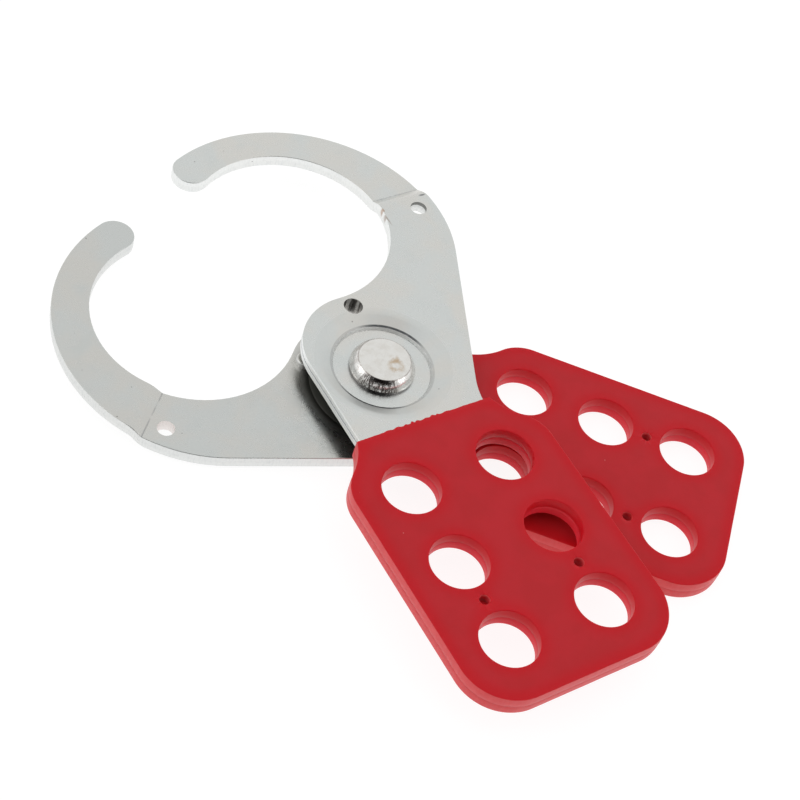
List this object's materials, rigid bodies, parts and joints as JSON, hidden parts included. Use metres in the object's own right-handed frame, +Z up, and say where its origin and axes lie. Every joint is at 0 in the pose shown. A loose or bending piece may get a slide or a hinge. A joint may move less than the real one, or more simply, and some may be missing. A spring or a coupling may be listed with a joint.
{
  "type": "lockout hasp",
  "caption": "Scissor-type steel lockout hasp: curved jaws cross on a rivet, and padlock shackles through the lined-up holes of the plastic grips keep them shut.",
  "frame": {"origin": "on the pivot axis, at the flat end of the rivet's lower head, in the plane that the hasp lies on", "axes": "+Y towards the jaws' mouth, +Z up along the pivot from the lower half to the upper half, +X to the side that the upper jaw bends round"},
  "size_m": [0.084, 0.1279, 0.0103],
  "materials": {
    "steel_sheet": "bright rolled sheet, satin, sheared edges",
    "rivet_steel": "bright plated, polished bevel",
    "red_plastic": "satin moulded"
  },
  "bodies": {
    "lower_half": {"lower_jaw_plate": "steel_sheet", "lower_grip": "red_plastic", "pivot_rivet": "rivet_steel"},
    "upper_half": {"upper_jaw_plate": "steel_sheet", "upper_grip": "red_plastic"}
  },
  "joints": [
    {"name": "jaw_pivot", "type": "hinge", "parent": "lower_half", "child": "upper_half", "pos_m": [0, 0, 0], "axis": [0, 0, 1], "range_deg": [-66, 43.9]}
  ]
}
